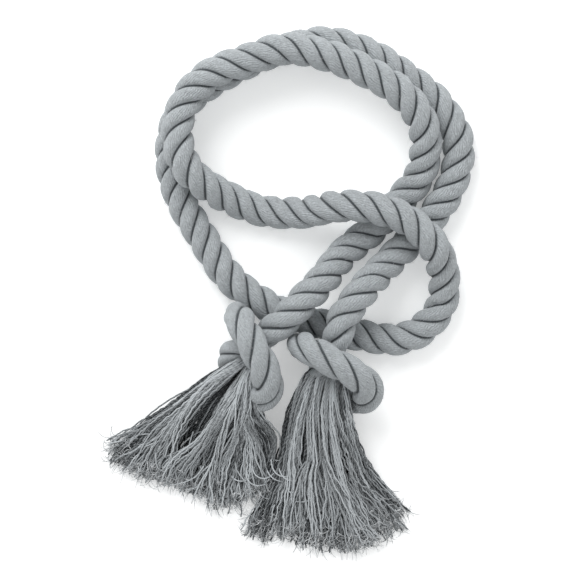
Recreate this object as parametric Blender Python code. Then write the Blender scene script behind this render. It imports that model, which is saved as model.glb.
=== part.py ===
"""Rope curtain tieback: one length of three-strand cotton rope, doubled into a slip loop and laid
flat, with an overhand knot near each end and the end itself unlaid into a tassel.

Metres, +Z up. The surface it lies on is z = 0, and +Y runs from the tassels to the head of the loop.
"""

import math
import random
from collections import namedtuple

import bmesh
import bpy
from mathutils import Vector

COLLECTION = "rope_tieback"
MM = 0.001

# Rope
ROPE_DIAMETER = 0.018
STRANDS = 3
LAY_LENGTH = 2.0 * ROPE_DIAMETER      # one full turn of a strand, right-hand laid
KNOT_LAY = 1.28                       # how much longer the lay is where a knot has opened it
KNOT_LAY_GIRTHS = (0.98, 0.92)        # girths between which it opens
GROOVE_DEPTH = 0.26                   # of the rope's radius, between two strands
CROWN_HALF_ANGLE = math.radians(24)   # each strand shows as a crown this wide to either side
RING_STEP = 0.0034                    # along the rope, between two sections
REST_HEIGHT = 0.47                    # axis of a rope that lies on the surface, in rope diameters
SPLINE_STEPS = 14                     # samples between two points of the route
GAP = 0.0003                          # left between two touching pieces

# Tassels
LOCK_COLUMNS = 22
LOCK_LAYERS = 3
LOCK_STEPS = 5
HEAD_LENGTH = 0.005
HEAD_WIDTH = 0.0165
HEAD_HEIGHT = 0.0100
EDGE_DRAW_IN = 0.35                   # of the face's height, at its two edges
LEAD_LENGTH = 0.0025                  # a lock's straight start
BACK_FILL = 0.96                      # of the rope's end, that the head's back covers
TIP_THICKNESS = 0.0020                # of one lock, where it lies on the surface
LOCK_FILL = 0.78                      # share of a column or layer that its lock fills
TIP_TAPER = 0.75                      # width of a lock's end, of its full width
RAGGED_HEM = 0.60                     # largest shortening of a lock, of its last step
HEM_SEED = 11
SETTLE_START = 0.06                   # of a lock's length, where it begins to come down
SETTLE_END = 0.58                     # of a lock's length: from here on it lies on the surface

# Overhand knot, from the standing side to the tail, seen from above with the tail pointing down
# the page. All in rope diameters: across to the right, along towards the tail, height above the
# knot's middle, and the girth to which the rope is pulled in.
KnotRow = namedtuple("KnotRow", "across along height girth")
KNOT_ROWS = tuple(KnotRow(*row) for row in (
    (0.20, -1.50, 0.25, 0.97),
    (0.05, -0.95, 0.13, 0.88),
    (-0.12, -0.50, -0.05, 0.72),
    (-0.33, -0.14, -0.09, 0.66),
    (-0.54, 0.10, -0.20, 0.66),
    (-0.58, 0.42, -0.56, 0.66),
    (-0.30, 0.70, -0.88, 0.66),
    (0.15, 0.88, -0.90, 0.70),
    (0.64, 0.98, -0.82, 0.74),
    (0.95, 0.84, -0.20, 0.88),
    (0.96, 0.50, 0.30, 0.92),
    (0.66, 0.18, 0.62, 0.92),
    (0.18, -0.12, 0.77, 0.92),
    (-0.38, -0.42, 0.75, 0.92),
    (-0.83, -0.66, 0.48, 0.90),
    (-1.06, -0.75, 0.02, 0.82),
    (-0.96, -0.66, -0.47, 0.72),
    (-0.58, -0.42, -0.80, 0.66),
    (-0.12, -0.14, -0.80, 0.66),
    (0.12, 0.14, -0.57, 0.68),
    (0.10, 0.36, -0.35, 0.70),
    (0.06, 0.56, -0.20, 0.74),
))
KNOT_AXIS = 1.25                      # height of a knot's middle, in rope diameters

# Where each knot lies, and how far it is turned clockwise, seen from above.
KNOTS = {
    "left": {"x_mm": -19.5, "y_mm": -36.0, "turn_deg": 35.0},
    "right": {"x_mm": 26.0, "y_mm": -43.5, "turn_deg": 0.0},
}

# The rope between the knots, from the left knot to the right one. Height is that of the rope's
# axis in rope diameters: about half where it lies on the surface, one and a half on another rope.
RouteRow = namedtuple("RouteRow", "x_mm y_mm height")
ROUTE_ROWS = tuple(RouteRow(*row) for row in (
    # up from the left knot, under the crossing and round the inner side of the loop
    (9, -5, 1.52), (18, 4, 1.35), (31, 20, 0.75), (45, 32, 0.47), (59, 46, 0.47),
    (71.5, 61, 0.50), (75.5, 75, 0.75), (73, 92.5, 1.20), (61, 107.5, 1.40), (41, 119.5, 1.44),
    (21, 127.5, 1.46), (-1, 131, 1.50), (-22, 125, 1.52), (-43, 116.5, 1.52), (-55, 103, 1.52),
    (-60, 85.5, 1.52), (-55, 67, 1.47), (-46.5, 58.5, 1.20), (-33.5, 51, 0.75),
    # across the front, over both legs
    (-14, 43.5, 0.47), (8, 42.5, 0.70), (28, 45.5, 1.35), (47, 44.5, 1.54), (64, 38.5, 1.55),
    # down the bight and back under both legs
    (78, 26, 1.41), (85.5, 9, 0.75), (84.5, -8, 0.47), (75, -21, 0.47), (60, -27, 0.47),
    (41, -25, 0.47), (17, -18.5, 0.47), (-2, -13, 0.47), (-16.5, -5.5, 0.47),
    # up the left side, under the inner rope, and round the outer side of the loop
    (-32.5, 7.5, 0.47), (-46.5, 28.5, 0.47), (-59, 50.5, 0.47), (-64, 70.5, 0.47),
    (-62.5, 88, 0.47), (-54, 104.5, 0.47), (-22, 125, 0.47), (0, 132.5, 0.47), (22, 136, 0.47),
    (45.5, 129.5, 0.47), (64, 117.5, 0.47), (82, 103, 0.47), (93.5, 82.5, 0.47),
    (92, 62.5, 0.47), (83.4, 45.7, 0.47), (71.5, 31.5, 0.47),
    # up and over the bight to the right knot
    (51.5, 11, 0.95), (41, 0, 1.42),
))

# Each tassel's fan, a row for each share of its width from one edge to the other: points in
# millimetres on the lock that starts there, at its shoulder, at its waist and at its tip.
FanRow = namedtuple("FanRow", "share shoulder_x shoulder_y waist_x waist_y tip_x tip_y")
FANS = {
    "left": tuple(FanRow(*row) for row in (
        (0.00, -46, -46, -72, -62, -107, -91),
        (0.25, -44, -55, -62, -75, -86, -102),
        (0.50, -38, -61, -48, -86, -61, -115),
        (0.75, -31, -67, -33, -93, -35, -125),
        (1.00, -24, -68, -10, -86, -12, -108),
    )),
    "right": tuple(FanRow(*row) for row in (
        (0.00, 4, -67, -4, -92, -20, -135),
        (0.25, 13, -71, 9, -104, 1, -141),
        (0.50, 22, -73, 22, -107, 23, -144),
        (0.75, 30, -73, 33, -105, 45, -142),
        (1.00, 34.5, -70, 42, -93, 66, -129),
    )),
}

# Finishes
COTTON_GREY = (0.330, 0.360, 0.375, 1.0)
TASSEL_GREY = (0.300, 0.330, 0.345, 1.0)
COTTON_ROUGHNESS = 0.95
SHARP_ANGLE = math.radians(50)        # edges sharper than this keep their crease


def clear_scene():
    for stray in list(bpy.data.objects):
        bpy.data.objects.remove(stray, do_unlink=True)


def make_material(name, colour):
    material = bpy.data.materials.new(name)
    material.use_nodes = True
    shader = material.node_tree.nodes["Principled BSDF"]
    shader.inputs["Base Color"].default_value = colour
    shader.inputs["Roughness"].default_value = COTTON_ROUGHNESS
    shader.inputs["Metallic"].default_value = 0.0
    return material


def knot_points(knot):
    """The knot's rows at its place: (position in metres, girth)."""
    turn = math.radians(knot["turn_deg"])
    points = []
    for row in KNOT_ROWS:
        right = row.across * math.cos(turn) - row.along * math.sin(turn)
        down = row.across * math.sin(turn) + row.along * math.cos(turn)
        place = Vector((
            knot["x_mm"] * MM + right * ROPE_DIAMETER,
            knot["y_mm"] * MM - down * ROPE_DIAMETER,
            (KNOT_AXIS + row.height) * ROPE_DIAMETER,
        ))
        points.append((place, row.girth))
    return points


def route_points():
    """The whole rope from the left tail to the right tail."""
    between = [
        (Vector((row.x_mm * MM, row.y_mm * MM, row.height * ROPE_DIAMETER)), 1.0)
        for row in ROUTE_ROWS
    ]
    return knot_points(KNOTS["left"])[::-1] + between + knot_points(KNOTS["right"])


def smooth_curve(points, steps):
    """A centripetal Catmull-Rom curve through points, each a Vector."""
    ends = [2 * points[0] - points[1]] + list(points) + [2 * points[-1] - points[-2]]
    curve = []
    for a, b, c, d in zip(ends, ends[1:], ends[2:], ends[3:]):
        t0 = 0.0
        t1 = t0 + math.sqrt((b - a).length)
        t2 = t1 + math.sqrt((c - b).length)
        t3 = t2 + math.sqrt((d - c).length)
        for step in range(steps):
            t = t1 + (t2 - t1) * step / steps
            ab = a.lerp(b, (t - t0) / (t1 - t0))
            bc = b.lerp(c, (t - t1) / (t2 - t1))
            cd = c.lerp(d, (t - t2) / (t3 - t2))
            abc = ab.lerp(bc, (t - t0) / (t2 - t0))
            bcd = bc.lerp(cd, (t - t1) / (t3 - t1))
            curve.append(abc.lerp(bcd, (t - t1) / (t2 - t1)))
    curve.append(points[-1].copy())
    return curve


def even_steps(curve, count):
    """The curve resampled to count equal steps."""
    lengths = [0.0]
    for a, b in zip(curve, curve[1:]):
        lengths.append(lengths[-1] + (b - a).length)
    samples = []
    k = 0
    for i in range(count + 1):
        s = lengths[-1] * i / count
        while k < len(curve) - 2 and lengths[k + 1] < s:
            k += 1
        samples.append(curve[k].lerp(curve[k + 1], (s - lengths[k]) / (lengths[k + 1] - lengths[k])))
    return samples, lengths[-1]


def rope_path():
    """Positions along the rope's axis at even steps, the girth at each, and the length."""
    points = route_points()
    # the girth rides along as a fourth coordinate, scaled so that it doesn't stretch the steps
    carried = [Vector((*place, girth * MM)) for place, girth in points]
    curve = smooth_curve(carried, SPLINE_STEPS)
    for sample in curve:
        resting = min(sample[3] / MM / 2, REST_HEIGHT) * ROPE_DIAMETER
        sample[2] = max(sample[2], resting)
    total = sum((b - a).length for a, b in zip(curve, curve[1:]))
    samples, length = even_steps(curve, round(total / RING_STEP))
    return [s.to_3d() for s in samples], [s[3] / MM for s in samples], length


def tangents(path):
    after = path[1:] + [path[-1]]
    before = [path[0]] + path[:-1]
    return [(b - a).normalized() for a, b in zip(before, after)]


def carried_normals(path, start):
    """Normals that turn as little as they can along the path."""
    directions = tangents(path)
    normal = (start - start.dot(directions[0]) * directions[0]).normalized()
    normals = [normal]
    for old, new in zip(directions, directions[1:]):
        normal = old.rotation_difference(new) @ normal
        normal = (normal - normal.dot(new) * new).normalized()
        normals.append(normal)
    return directions, normals


def rope_section(girth):
    """Angle and radius of each point of the section: two to a strand's crown, one to a groove."""
    radius = girth * ROPE_DIAMETER / 2
    section = []
    for strand in range(STRANDS):
        middle = 2 * math.pi * strand / STRANDS
        section.append((middle - CROWN_HALF_ANGLE, radius))
        section.append((middle + CROWN_HALF_ANGLE, radius))
        section.append((middle + math.pi / STRANDS, radius * (1 - GROOVE_DEPTH)))
    return section


def ring(bm, centre, across, up, section, twist):
    """One section of the rope. Where it meets the surface it is pressed flat."""
    verts = []
    for angle, radius in section:
        a = angle + twist
        point = centre + radius * (math.cos(a) * across + math.sin(a) * up)
        point.z = max(point.z, 0.0)
        verts.append(bm.verts.new(point))
    return verts


def bridge(bm, first, second):
    count = len(first)
    for i in range(count):
        j = (i + 1) % count
        bm.faces.new((first[i], first[j], second[j], second[i]))


def add_object(name, bm, collection, material):
    bmesh.ops.triangulate(bm, faces=bm.faces[:])
    bmesh.ops.recalc_face_normals(bm, faces=bm.faces[:])
    mesh = bpy.data.meshes.new(name)
    bm.to_mesh(mesh)
    bm.free()
    mesh.shade_smooth()
    mesh.set_sharp_from_angle(angle=SHARP_ANGLE)
    mesh.materials.append(material)
    made = bpy.data.objects.new(name, mesh)
    collection.objects.link(made)
    return made


def lay_at(girth):
    """The lay length where the rope is pulled in to this girth."""
    loose, tight = KNOT_LAY_GIRTHS
    opened = min(max((loose - girth) / (loose - tight), 0.0), 1.0)
    return LAY_LENGTH * (1 + (KNOT_LAY - 1) * opened)


def make_rope(collection, material):
    path, girths, length = rope_path()
    directions, normals = carried_normals(path, Vector((0, 0, 1)))
    step = length / (len(path) - 1)
    bm = bmesh.new()
    rings = []
    twist = 0.0
    for i, (centre, girth) in enumerate(zip(path, girths)):
        across = normals[i]
        up = directions[i].cross(across)
        rings.append(ring(bm, centre, across, up, rope_section(girth), twist))
        twist += 2 * math.pi * step / lay_at(girth)
    for first, second in zip(rings, rings[1:]):
        bridge(bm, first, second)
    for end in (rings[0], rings[-1]):
        bm.faces.new(end)
    return add_object("rope", bm, collection, material)


def rope_end(which):
    """Where the rope stops and its tassel starts: place, outward direction and radius."""
    path, girths, _ = rope_path()
    if which == "left":
        path, girths = path[::-1], girths[::-1]
    outward = (path[-1] - path[-2]).normalized()
    return path[-1], outward, girths[-1] * ROPE_DIAMETER / 2


def fan_row(fan, share):
    """The fan's points at one share of its width, between the rows of its table."""
    for low, high in zip(fan, fan[1:]):
        if share <= high.share:
            break
    t = (share - low.share) / (high.share - low.share)
    row = FanRow(*(a + t * (b - a) for a, b in zip(low, high)))
    shoulder = Vector((row.shoulder_x, row.shoulder_y, 0.0)) * MM
    waist = Vector((row.waist_x, row.waist_y, 0.0)) * MM
    tip = Vector((row.tip_x, row.tip_y, 0.0)) * MM
    return shoulder, waist, tip


def lock_spine(fan, share, start, heading):
    """The plan of one lock, as even steps from the head's face to its tip."""
    shoulder, waist, tip = fan_row(fan, share)
    lead = start + heading * LEAD_LENGTH
    curve = smooth_curve([start, lead, shoulder, waist, tip], SPLINE_STEPS)
    steps, _ = even_steps(curve, LOCK_STEPS)
    return steps


def settle(share):
    """How far a lock has come down from the head to the surface, from 0 to 1."""
    t = min(max((share - SETTLE_START) / (SETTLE_END - SETTLE_START), 0.0), 1.0)
    return t * t * (3 - 2 * t)


def lock_spines(fan, face_centre, heading):
    """The spine of every lock, by its (column, layer). The last step is cut to a ragged hem."""
    side = Vector((-heading.y, heading.x, 0.0))
    foot = Vector((face_centre.x, face_centre.y, 0.0))
    shuffle = random.Random(HEM_SEED)
    spines = {}
    for layer in range(LOCK_LAYERS):
        for column in range(LOCK_COLUMNS):
            share = (column + 0.5) / LOCK_COLUMNS
            start = foot + side * (share - 0.5) * HEAD_WIDTH
            spine = lock_spine(fan, share, start, heading)
            spine[-1] = spine[-1].lerp(spine[-2], RAGGED_HEM * shuffle.random())
            spines[column, layer] = spine
    return spines


def lock_section(spines, column, layer, k):
    """The direction across a lock at its k-th step, and its width, from the spines beside it."""
    spine = spines[column, layer]
    toward = (spine[min(k + 1, LOCK_STEPS)] - spine[k - 1]).normalized()
    across = Vector((-toward.y, toward.x, 0.0))
    beside = [spines[c, layer][k] for c in (column - 1, column + 1) if 0 <= c < LOCK_COLUMNS]
    room = min(abs((place - spine[k]).dot(across)) for place in beside)
    taper = TIP_TAPER if k == LOCK_STEPS else 1.0
    return across, room * LOCK_FILL * taper


def grow_locks(bm, faces, lock_id, fan, face_centre, heading):
    """Draw every cell of the head's face out into a lock, step by step."""
    spines = lock_spines(fan, face_centre, heading)
    layer_height = HEAD_HEIGHT / LOCK_LAYERS
    tip_pitch = TIP_THICKNESS / LOCK_FILL
    across_before = {face[lock_id]: Vector((-heading.y, heading.x, 0.0)) for face in faces}
    for k in range(1, LOCK_STEPS + 1):
        down = settle(k / LOCK_STEPS)
        pitch = layer_height + (tip_pitch - layer_height) * down
        faces = bmesh.ops.extrude_discrete_faces(bm, faces=faces)["faces"]
        for face in faces:
            layer, column = divmod(face[lock_id], LOCK_COLUMNS)
            across, width = lock_section(spines, column, layer, k)
            root_z = face_centre.z + (layer + 0.5 - LOCK_LAYERS / 2) * layer_height
            rest_z = layer * tip_pitch + TIP_THICKNESS / 2
            spine = spines[column, layer]
            centre = Vector((spine[k].x, spine[k].y, root_z + (rest_z - root_z) * down))
            middle = face.calc_center_median()
            for vert in face.verts:
                offset = vert.co - middle
                right = math.copysign(width / 2, offset.dot(across_before[face[lock_id]]))
                rise = math.copysign(pitch * LOCK_FILL / 2, offset.z)
                vert.co = centre + across * right + Vector((0.0, 0.0, rise))
            across_before[face[lock_id]] = across


def make_tassel(which, collection, material):
    end, outward, radius = rope_end(which)
    heading = Vector((outward.x, outward.y, 0.0)).normalized()
    side = Vector((-heading.y, heading.x, 0.0))
    back_centre = end + outward * GAP
    face_centre = back_centre + outward * HEAD_LENGTH
    bm = bmesh.new()
    lock_id = bm.faces.layers.int.new("lock")
    grid = bmesh.ops.create_grid(bm, x_segments=LOCK_COLUMNS, y_segments=LOCK_LAYERS, size=0.5)
    cells = list(bm.faces)
    for face in cells:
        centre = face.calc_center_median()
        column = int((centre.x + 0.5) * LOCK_COLUMNS)
        layer = int((centre.y + 0.5) * LOCK_LAYERS)
        face[lock_id] = layer * LOCK_COLUMNS + column
    # a face of locks, upright across the tail, lower towards its two edges
    for vert in grid["verts"]:
        u, w = vert.co.x, vert.co.y
        drawn_in = 1 - EDGE_DRAW_IN * (2 * u) ** 4
        vert.co = (
            face_centre
            + side * (u * HEAD_WIDTH)
            + Vector((0.0, 0.0, w * HEAD_HEIGHT * drawn_in))
        )
    # the head narrows to the rope's own round end, a hair's breadth from it
    rim = [edge for edge in bm.edges if edge.is_boundary]
    skirt = bmesh.ops.extrude_edge_only(bm, edges=rim)["geom"]
    level_side = (side - side.dot(outward) * outward).normalized()
    upward = level_side.cross(outward)
    if upward.z < 0:
        upward.negate()
    for vert in (part for part in skirt if isinstance(part, bmesh.types.BMVert)):
        offset = vert.co - face_centre
        angle = math.atan2(offset.z / HEAD_HEIGHT, offset.dot(side) / HEAD_WIDTH)
        vert.co = back_centre + radius * BACK_FILL * (
            math.cos(angle) * level_side + math.sin(angle) * upward
        )
    bmesh.ops.holes_fill(bm, edges=[edge for edge in bm.edges if edge.is_boundary])
    margin = HEAD_WIDTH / LOCK_COLUMNS * (1 - LOCK_FILL) / 2
    bmesh.ops.inset_individual(bm, faces=cells, thickness=margin)
    grow_locks(bm, cells, lock_id, FANS[which], face_centre, heading)
    return add_object(f"tassel_{which}", bm, collection, material)


def main():
    clear_scene()
    collection = bpy.data.collections.new(COLLECTION)
    bpy.context.scene.collection.children.link(collection)
    rope_cotton = make_material("rope_cotton", COTTON_GREY)
    tassel_cotton = make_material("tassel_cotton", TASSEL_GREY)
    make_rope(collection, rope_cotton)
    for which in KNOTS:
        make_tassel(which, collection, tassel_cotton)


main()
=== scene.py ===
"""A rope curtain tieback laid flat: three-strand cotton rope in a slip loop, an overhand knot near
each end, and the ends unlaid into tassels.

Metres, +Z up. The surface is z = 0, and +Y runs from the tassels to the head of the loop.
"""

import math
import random
from collections import namedtuple

import bmesh
import bpy
from bpy.props import FloatProperty, FloatVectorProperty, IntProperty, PointerProperty
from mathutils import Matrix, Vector


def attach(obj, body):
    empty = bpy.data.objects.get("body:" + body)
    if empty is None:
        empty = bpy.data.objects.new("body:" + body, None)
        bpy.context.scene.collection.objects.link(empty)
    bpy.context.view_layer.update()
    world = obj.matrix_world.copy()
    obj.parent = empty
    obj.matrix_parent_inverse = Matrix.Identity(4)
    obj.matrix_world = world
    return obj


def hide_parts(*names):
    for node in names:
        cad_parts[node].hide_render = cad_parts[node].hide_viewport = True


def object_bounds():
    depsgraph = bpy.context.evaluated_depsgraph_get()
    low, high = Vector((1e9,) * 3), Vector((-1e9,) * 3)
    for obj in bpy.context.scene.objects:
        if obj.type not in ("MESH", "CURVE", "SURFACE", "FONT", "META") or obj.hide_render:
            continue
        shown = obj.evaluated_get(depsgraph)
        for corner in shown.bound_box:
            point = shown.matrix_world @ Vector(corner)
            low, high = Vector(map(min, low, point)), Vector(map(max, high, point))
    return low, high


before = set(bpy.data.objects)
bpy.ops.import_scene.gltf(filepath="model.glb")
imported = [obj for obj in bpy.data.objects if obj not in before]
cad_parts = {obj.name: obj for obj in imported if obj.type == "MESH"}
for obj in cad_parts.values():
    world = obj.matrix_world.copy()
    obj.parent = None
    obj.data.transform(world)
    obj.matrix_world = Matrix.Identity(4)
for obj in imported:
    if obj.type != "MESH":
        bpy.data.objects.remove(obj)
CAD_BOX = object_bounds()

bl_info = {
    "name": "Rope Tieback",
    "version": (1, 0, 0),
    "blender": (4, 5, 0),
    "location": "View3D > Sidebar > Tieback",
    "description": "Builds a cotton rope curtain tieback with two tassels",
    "category": "Add Mesh",
}

MM = 0.001
UP = Vector((0, 0, 1))
MATHS = "ShaderNodeMath"

# Seeds of the random draws
ROPE_SEED = 5
TASSEL_SEEDS = {"left": 21, "right": 34}
STRAY_SEEDS = {"left": 8, "right": 9}
FIBRE_SEED = 77

# ---- The rope's route, the same points as the solids' ----

ROPE_DIAMETER = 0.018
LAY_LENGTH = 2.0 * ROPE_DIAMETER      # one full turn of a strand, right-hand laid
KNOT_LAY = 1.28                       # how much longer the lay is where a knot has opened it
KNOT_LAY_GIRTHS = (0.98, 0.92)        # girths between which it opens
STRANDS = 3
REST_HEIGHT = 0.47                    # axis of a rope that lies on the surface, in rope diameters
SPLINE_STEPS = 14                     # samples between two points of the route

# Overhand knot, from the standing side to the tail, in rope diameters: across to the right, along
# towards the tail, height above the knot's middle, and the girth to which the rope is pulled in.
KnotRow = namedtuple("KnotRow", "across along height girth")
KNOT_ROWS = tuple(KnotRow(*row) for row in (
    (0.20, -1.50, 0.25, 0.97),
    (0.05, -0.95, 0.13, 0.88),
    (-0.12, -0.50, -0.05, 0.72),
    (-0.33, -0.14, -0.09, 0.66),
    (-0.54, 0.10, -0.20, 0.66),
    (-0.58, 0.42, -0.56, 0.66),
    (-0.30, 0.70, -0.88, 0.66),
    (0.15, 0.88, -0.90, 0.70),
    (0.64, 0.98, -0.82, 0.74),
    (0.95, 0.84, -0.20, 0.88),
    (0.96, 0.50, 0.30, 0.92),
    (0.66, 0.18, 0.62, 0.92),
    (0.18, -0.12, 0.77, 0.92),
    (-0.38, -0.42, 0.75, 0.92),
    (-0.83, -0.66, 0.48, 0.90),
    (-1.06, -0.75, 0.02, 0.82),
    (-0.96, -0.66, -0.47, 0.72),
    (-0.58, -0.42, -0.80, 0.66),
    (-0.12, -0.14, -0.80, 0.66),
    (0.12, 0.14, -0.57, 0.68),
    (0.10, 0.36, -0.35, 0.70),
    (0.06, 0.56, -0.20, 0.74),
))
KNOT_AXIS = 1.25                      # height of a knot's middle, in rope diameters

KNOTS = {
    "left": {"x_mm": -19.5, "y_mm": -36.0, "turn_deg": 35.0},
    "right": {"x_mm": 26.0, "y_mm": -43.5, "turn_deg": 0.0},
}

# From the left knot to the right one. Height is that of the rope's axis, in rope diameters.
RouteRow = namedtuple("RouteRow", "x_mm y_mm height")
ROUTE_ROWS = tuple(RouteRow(*row) for row in (
    # up from the left knot, under the crossing and round the inner side of the loop
    (9, -5, 1.52), (18, 4, 1.35), (31, 20, 0.75), (45, 32, 0.47), (59, 46, 0.47),
    (71.5, 61, 0.50), (75.5, 75, 0.75), (73, 92.5, 1.20), (61, 107.5, 1.40), (41, 119.5, 1.44),
    (21, 127.5, 1.46), (-1, 131, 1.50), (-22, 125, 1.52), (-43, 116.5, 1.52), (-55, 103, 1.52),
    (-60, 85.5, 1.52), (-55, 67, 1.47), (-46.5, 58.5, 1.20), (-33.5, 51, 0.75),
    # across the front, over both legs
    (-14, 43.5, 0.47), (8, 42.5, 0.70), (28, 45.5, 1.35), (47, 44.5, 1.54), (64, 38.5, 1.55),
    # down the bight and back under both legs
    (78, 26, 1.41), (85.5, 9, 0.75), (84.5, -8, 0.47), (75, -21, 0.47), (60, -27, 0.47),
    (41, -25, 0.47), (17, -18.5, 0.47), (-2, -13, 0.47), (-16.5, -5.5, 0.47),
    # up the left side, under the inner rope, and round the outer side of the loop
    (-32.5, 7.5, 0.47), (-46.5, 28.5, 0.47), (-59, 50.5, 0.47), (-64, 70.5, 0.47),
    (-62.5, 88, 0.47), (-54, 104.5, 0.47), (-22, 125, 0.47), (0, 132.5, 0.47), (22, 136, 0.47),
    (45.5, 129.5, 0.47), (64, 117.5, 0.47), (82, 103, 0.47), (93.5, 82.5, 0.47),
    (92, 62.5, 0.47), (83.4, 45.7, 0.47), (71.5, 31.5, 0.47),
    # up and over the bight to the right knot
    (51.5, 11, 0.95), (41, 0, 1.42),
))

# Each tassel's fan, a row for each share of its width from one edge to the other: points in
# millimetres on the yarn that starts there, at its shoulder, at its waist and at its tip.
FanRow = namedtuple("FanRow", "share shoulder_x shoulder_y waist_x waist_y tip_x tip_y")
FANS = {
    "left": tuple(FanRow(*row) for row in (
        (0.00, -46, -51, -74, -70, -99, -92),
        (0.25, -43, -56, -63, -77, -86, -99),
        (0.50, -36, -62, -47, -84, -60, -107),
        (0.75, -27, -66, -31, -89, -36, -120),
        (1.00, -17, -66, -6, -82, -10, -109),
    )),
    "right": tuple(FanRow(*row) for row in (
        (0.00, 3, -63, -4, -90, -20, -132),
        (0.25, 12, -68, 8, -102, 1, -138),
        (0.50, 20, -71, 21, -105, 23, -141),
        (0.75, 28, -71, 32, -103, 45, -139),
        (1.00, 34, -68, 41, -92, 65, -127),
    )),
}

# Where the yarns come out from under the knot's front band: the mouth's middle, measured from the
# rope's end outwards, to the side of the fan's last row and upwards, and its half width and height.
Mouth = namedtuple("Mouth", "out_mm aside_mm half_width_mm rise_mm half_height_mm")
MOUTHS = {
    "left": Mouth(-3.5, 0.0, 6.2, 2.0, 6.0),
    "right": Mouth(-6.0, -6.0, 10.5, 3.5, 5.5),
}

# Where a tassel's upper yarns part and show a dark gap: at that share of the fan, this wide, from
# one share of the yarns' length to another. Yarns lower than the depth, a share of the pile, stay.
# The two that end at 0.60 are shut up to there, and open from there to the tip.
Parting = namedtuple("Parting", "share width_mm starts ends depth")
PARTINGS = {
    "left": (Parting(0.38, 12.5, -0.06, 0.96, 0.16), Parting(0.66, 2.5, 0.20, 0.75, 0.4),
             Parting(0.84, 2.5, 0.15, 0.60, 0.4)),
    "right": (Parting(0.24, 4.5, 0.12, 0.70, 0.3), Parting(0.42, 4.0, 0.10, 0.60, 0.4),
              Parting(0.60, 4.5, 0.30, 0.90, 0.3), Parting(0.78, 4.0, 0.35, 0.80, 0.4)),
}

# Yarns that have sprung out of the fans and lie curled over them: where each one starts, which way
# it heads, how far it bends round, its length, and its height at both ends and in the middle.
CurlRow = namedtuple("CurlRow", "x_mm y_mm heading_deg bend_deg length_mm end_z_mm middle_z_mm")
CURLS = {
    "left": tuple(CurlRow(*row) for row in (
        (-19, -93, -98, 150, 23, 7, 10),
        (-22, -96, -105, 120, 20, 6, 10),
        (-33, -99, -62, 95, 17, 7, 9),
        (-46, -101, -100, -80, 15, 7, 8),
        (-12, -97, -70, 60, 14, 7, 10),
    )),
    "right": tuple(CurlRow(*row) for row in (
        (-9, -93, -85, 105, 19, 7, 11),
        (-5, -96, -80, 90, 17, 8, 11),
        (2, -100, -120, 110, 20, 7, 10),
        (14, -108, -60, -70, 14, 7, 10),
        (33, -116, -75, 65, 15, 6, 9),
    )),
}


# ---- Sizes and colours ----

# The rope's surface
ROPE_SIDES = 48
PROFILE_POWER = 2.9             # how suddenly a strand's round crown falls into the groove
SLUB_SECTIONS = 9               # sections between two changes of a strand's thickness
SLUB = (0.97, 1.02)             # least and most of it, of the radius
FUZZ = 0.004                    # unevenness of the surface, of the radius
GROOVE_FUZZ = 0.018             # what a groove adds to it
KNOT_GIRTHS = (0.92, 1.0)       # girths at which the knots' swell is full, and begins

# The tassels' yarns
SOLID_STEP = 0.0034             # distance between two sections of the solid rope
GOLDEN_SHARE = 0.618            # spreads the locks evenly over the pile's height
GOLDEN_ANGLE = 2.4              # in radians, spreads a lock's yarns evenly round its middle
GUIDE_STEPS = 12                # samples between two points that a yarn is led through
SHOULDER_SINK = 0.0005          # of the shoulder's middle, below the mouth's
SHOULDER_HEIGHT = 0.0115        # from the lowest yarn to the highest, at the shoulder
WAIST_LIFT = 0.0008             # of the lowest yarns off the surface, at the waist
CRIMP_WAVE = (0.0050, 0.0120)   # least and most length of a yarn's waves
TIP_CURL = 0.0048               # spread of how far the tips curl aside
YARN_WANDER = 0.0007            # spread of how far a yarn wanders in its lock
LOCK_SWAY = 0.0030              # most that a lock sways aside
LOCK_LIFT = 0.0020              # most that it lifts or sinks

# How far a lock has drifted across the fan at the shoulder, the waist and the tip, and how loosely
# its yarns keep to it there
DRIFTS = ((-1.0, 0.004), (0.0, 0.004), (1.2, 0.010))

# Between these shares of the yarns' length a parting is fully open. It reaches this far across the
# fan, and takes this share of the pile to open above its depth.
PARTING_OPEN = (0.55, 0.62)
PARTING_REACH = 0.22
PARTING_BLEND = 0.25

# Frayed tips, stray yarns and loose fibres
WISPS = 3                       # that a yarn's cut end frays into
WISP_LEAST = 0.0022             # length of the shortest
WISP_EXTRA = 0.0085             # what the longest has more
STRAY_LENGTH = (0.010, 0.024)   # least and most
STRAY_SHADES = (0.45, 0.85)     # darkest and palest
FIBRE_STEP = 0.0024             # distance between two sections that fibres start from
FIBRE_CLEARANCE = 0.002         # no fibre starts nearer to the surface

# Fineness of each pattern, in spots to the metre
HEATHER_SCALE = 900.0           # light and dark fibre in the rope, 1.1 mm apart
PATCH_SCALE = 45.0              # broad changes of the rope's tone, 22 mm apart
YARN_FIBRE_SCALE = 1100.0       # fibre in a loose yarn, 0.9 mm apart
FRAYED_SCALE = 300.0            # pale and dark wisps, 3.3 mm apart
BOARD_SCALE = 40.0              # the board's grain, 25 mm apart
# and for two that follow the lay, to the metre along the rope and to a strand across it
STREAK_SCALE = (260.0, 42.0)    # 3.8 mm long and 0.45 mm wide
SWAY_SCALE = (220.0, 3.0, 0.0)  # 4.5 mm long and 6 mm wide
AGAINST_LAY = 0.86              # share of the lay that a strand's own twist undoes
PLY_PITCH = 0.0030              # along a loose yarn, from one ply's crest to the next
COTTON_SHEEN = "EEF2F4"         # sRGB, the bloom of pale fibre at grazing angles

# The stage
FLOOR_HALF_SIZE = 4.0
CLIP_START, CLIP_END = 0.05, 20.0
WORLD_STRENGTH = 0.70
Lamp = namedtuple("Lamp", "name place size energy")
LAMPS = (
    Lamp("key", (-0.32, 0.74, 0.74), 0.8, 8.2),
    Lamp("fill", (0.95, -0.35, 1.25), 1.4, 2.0),
)


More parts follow.
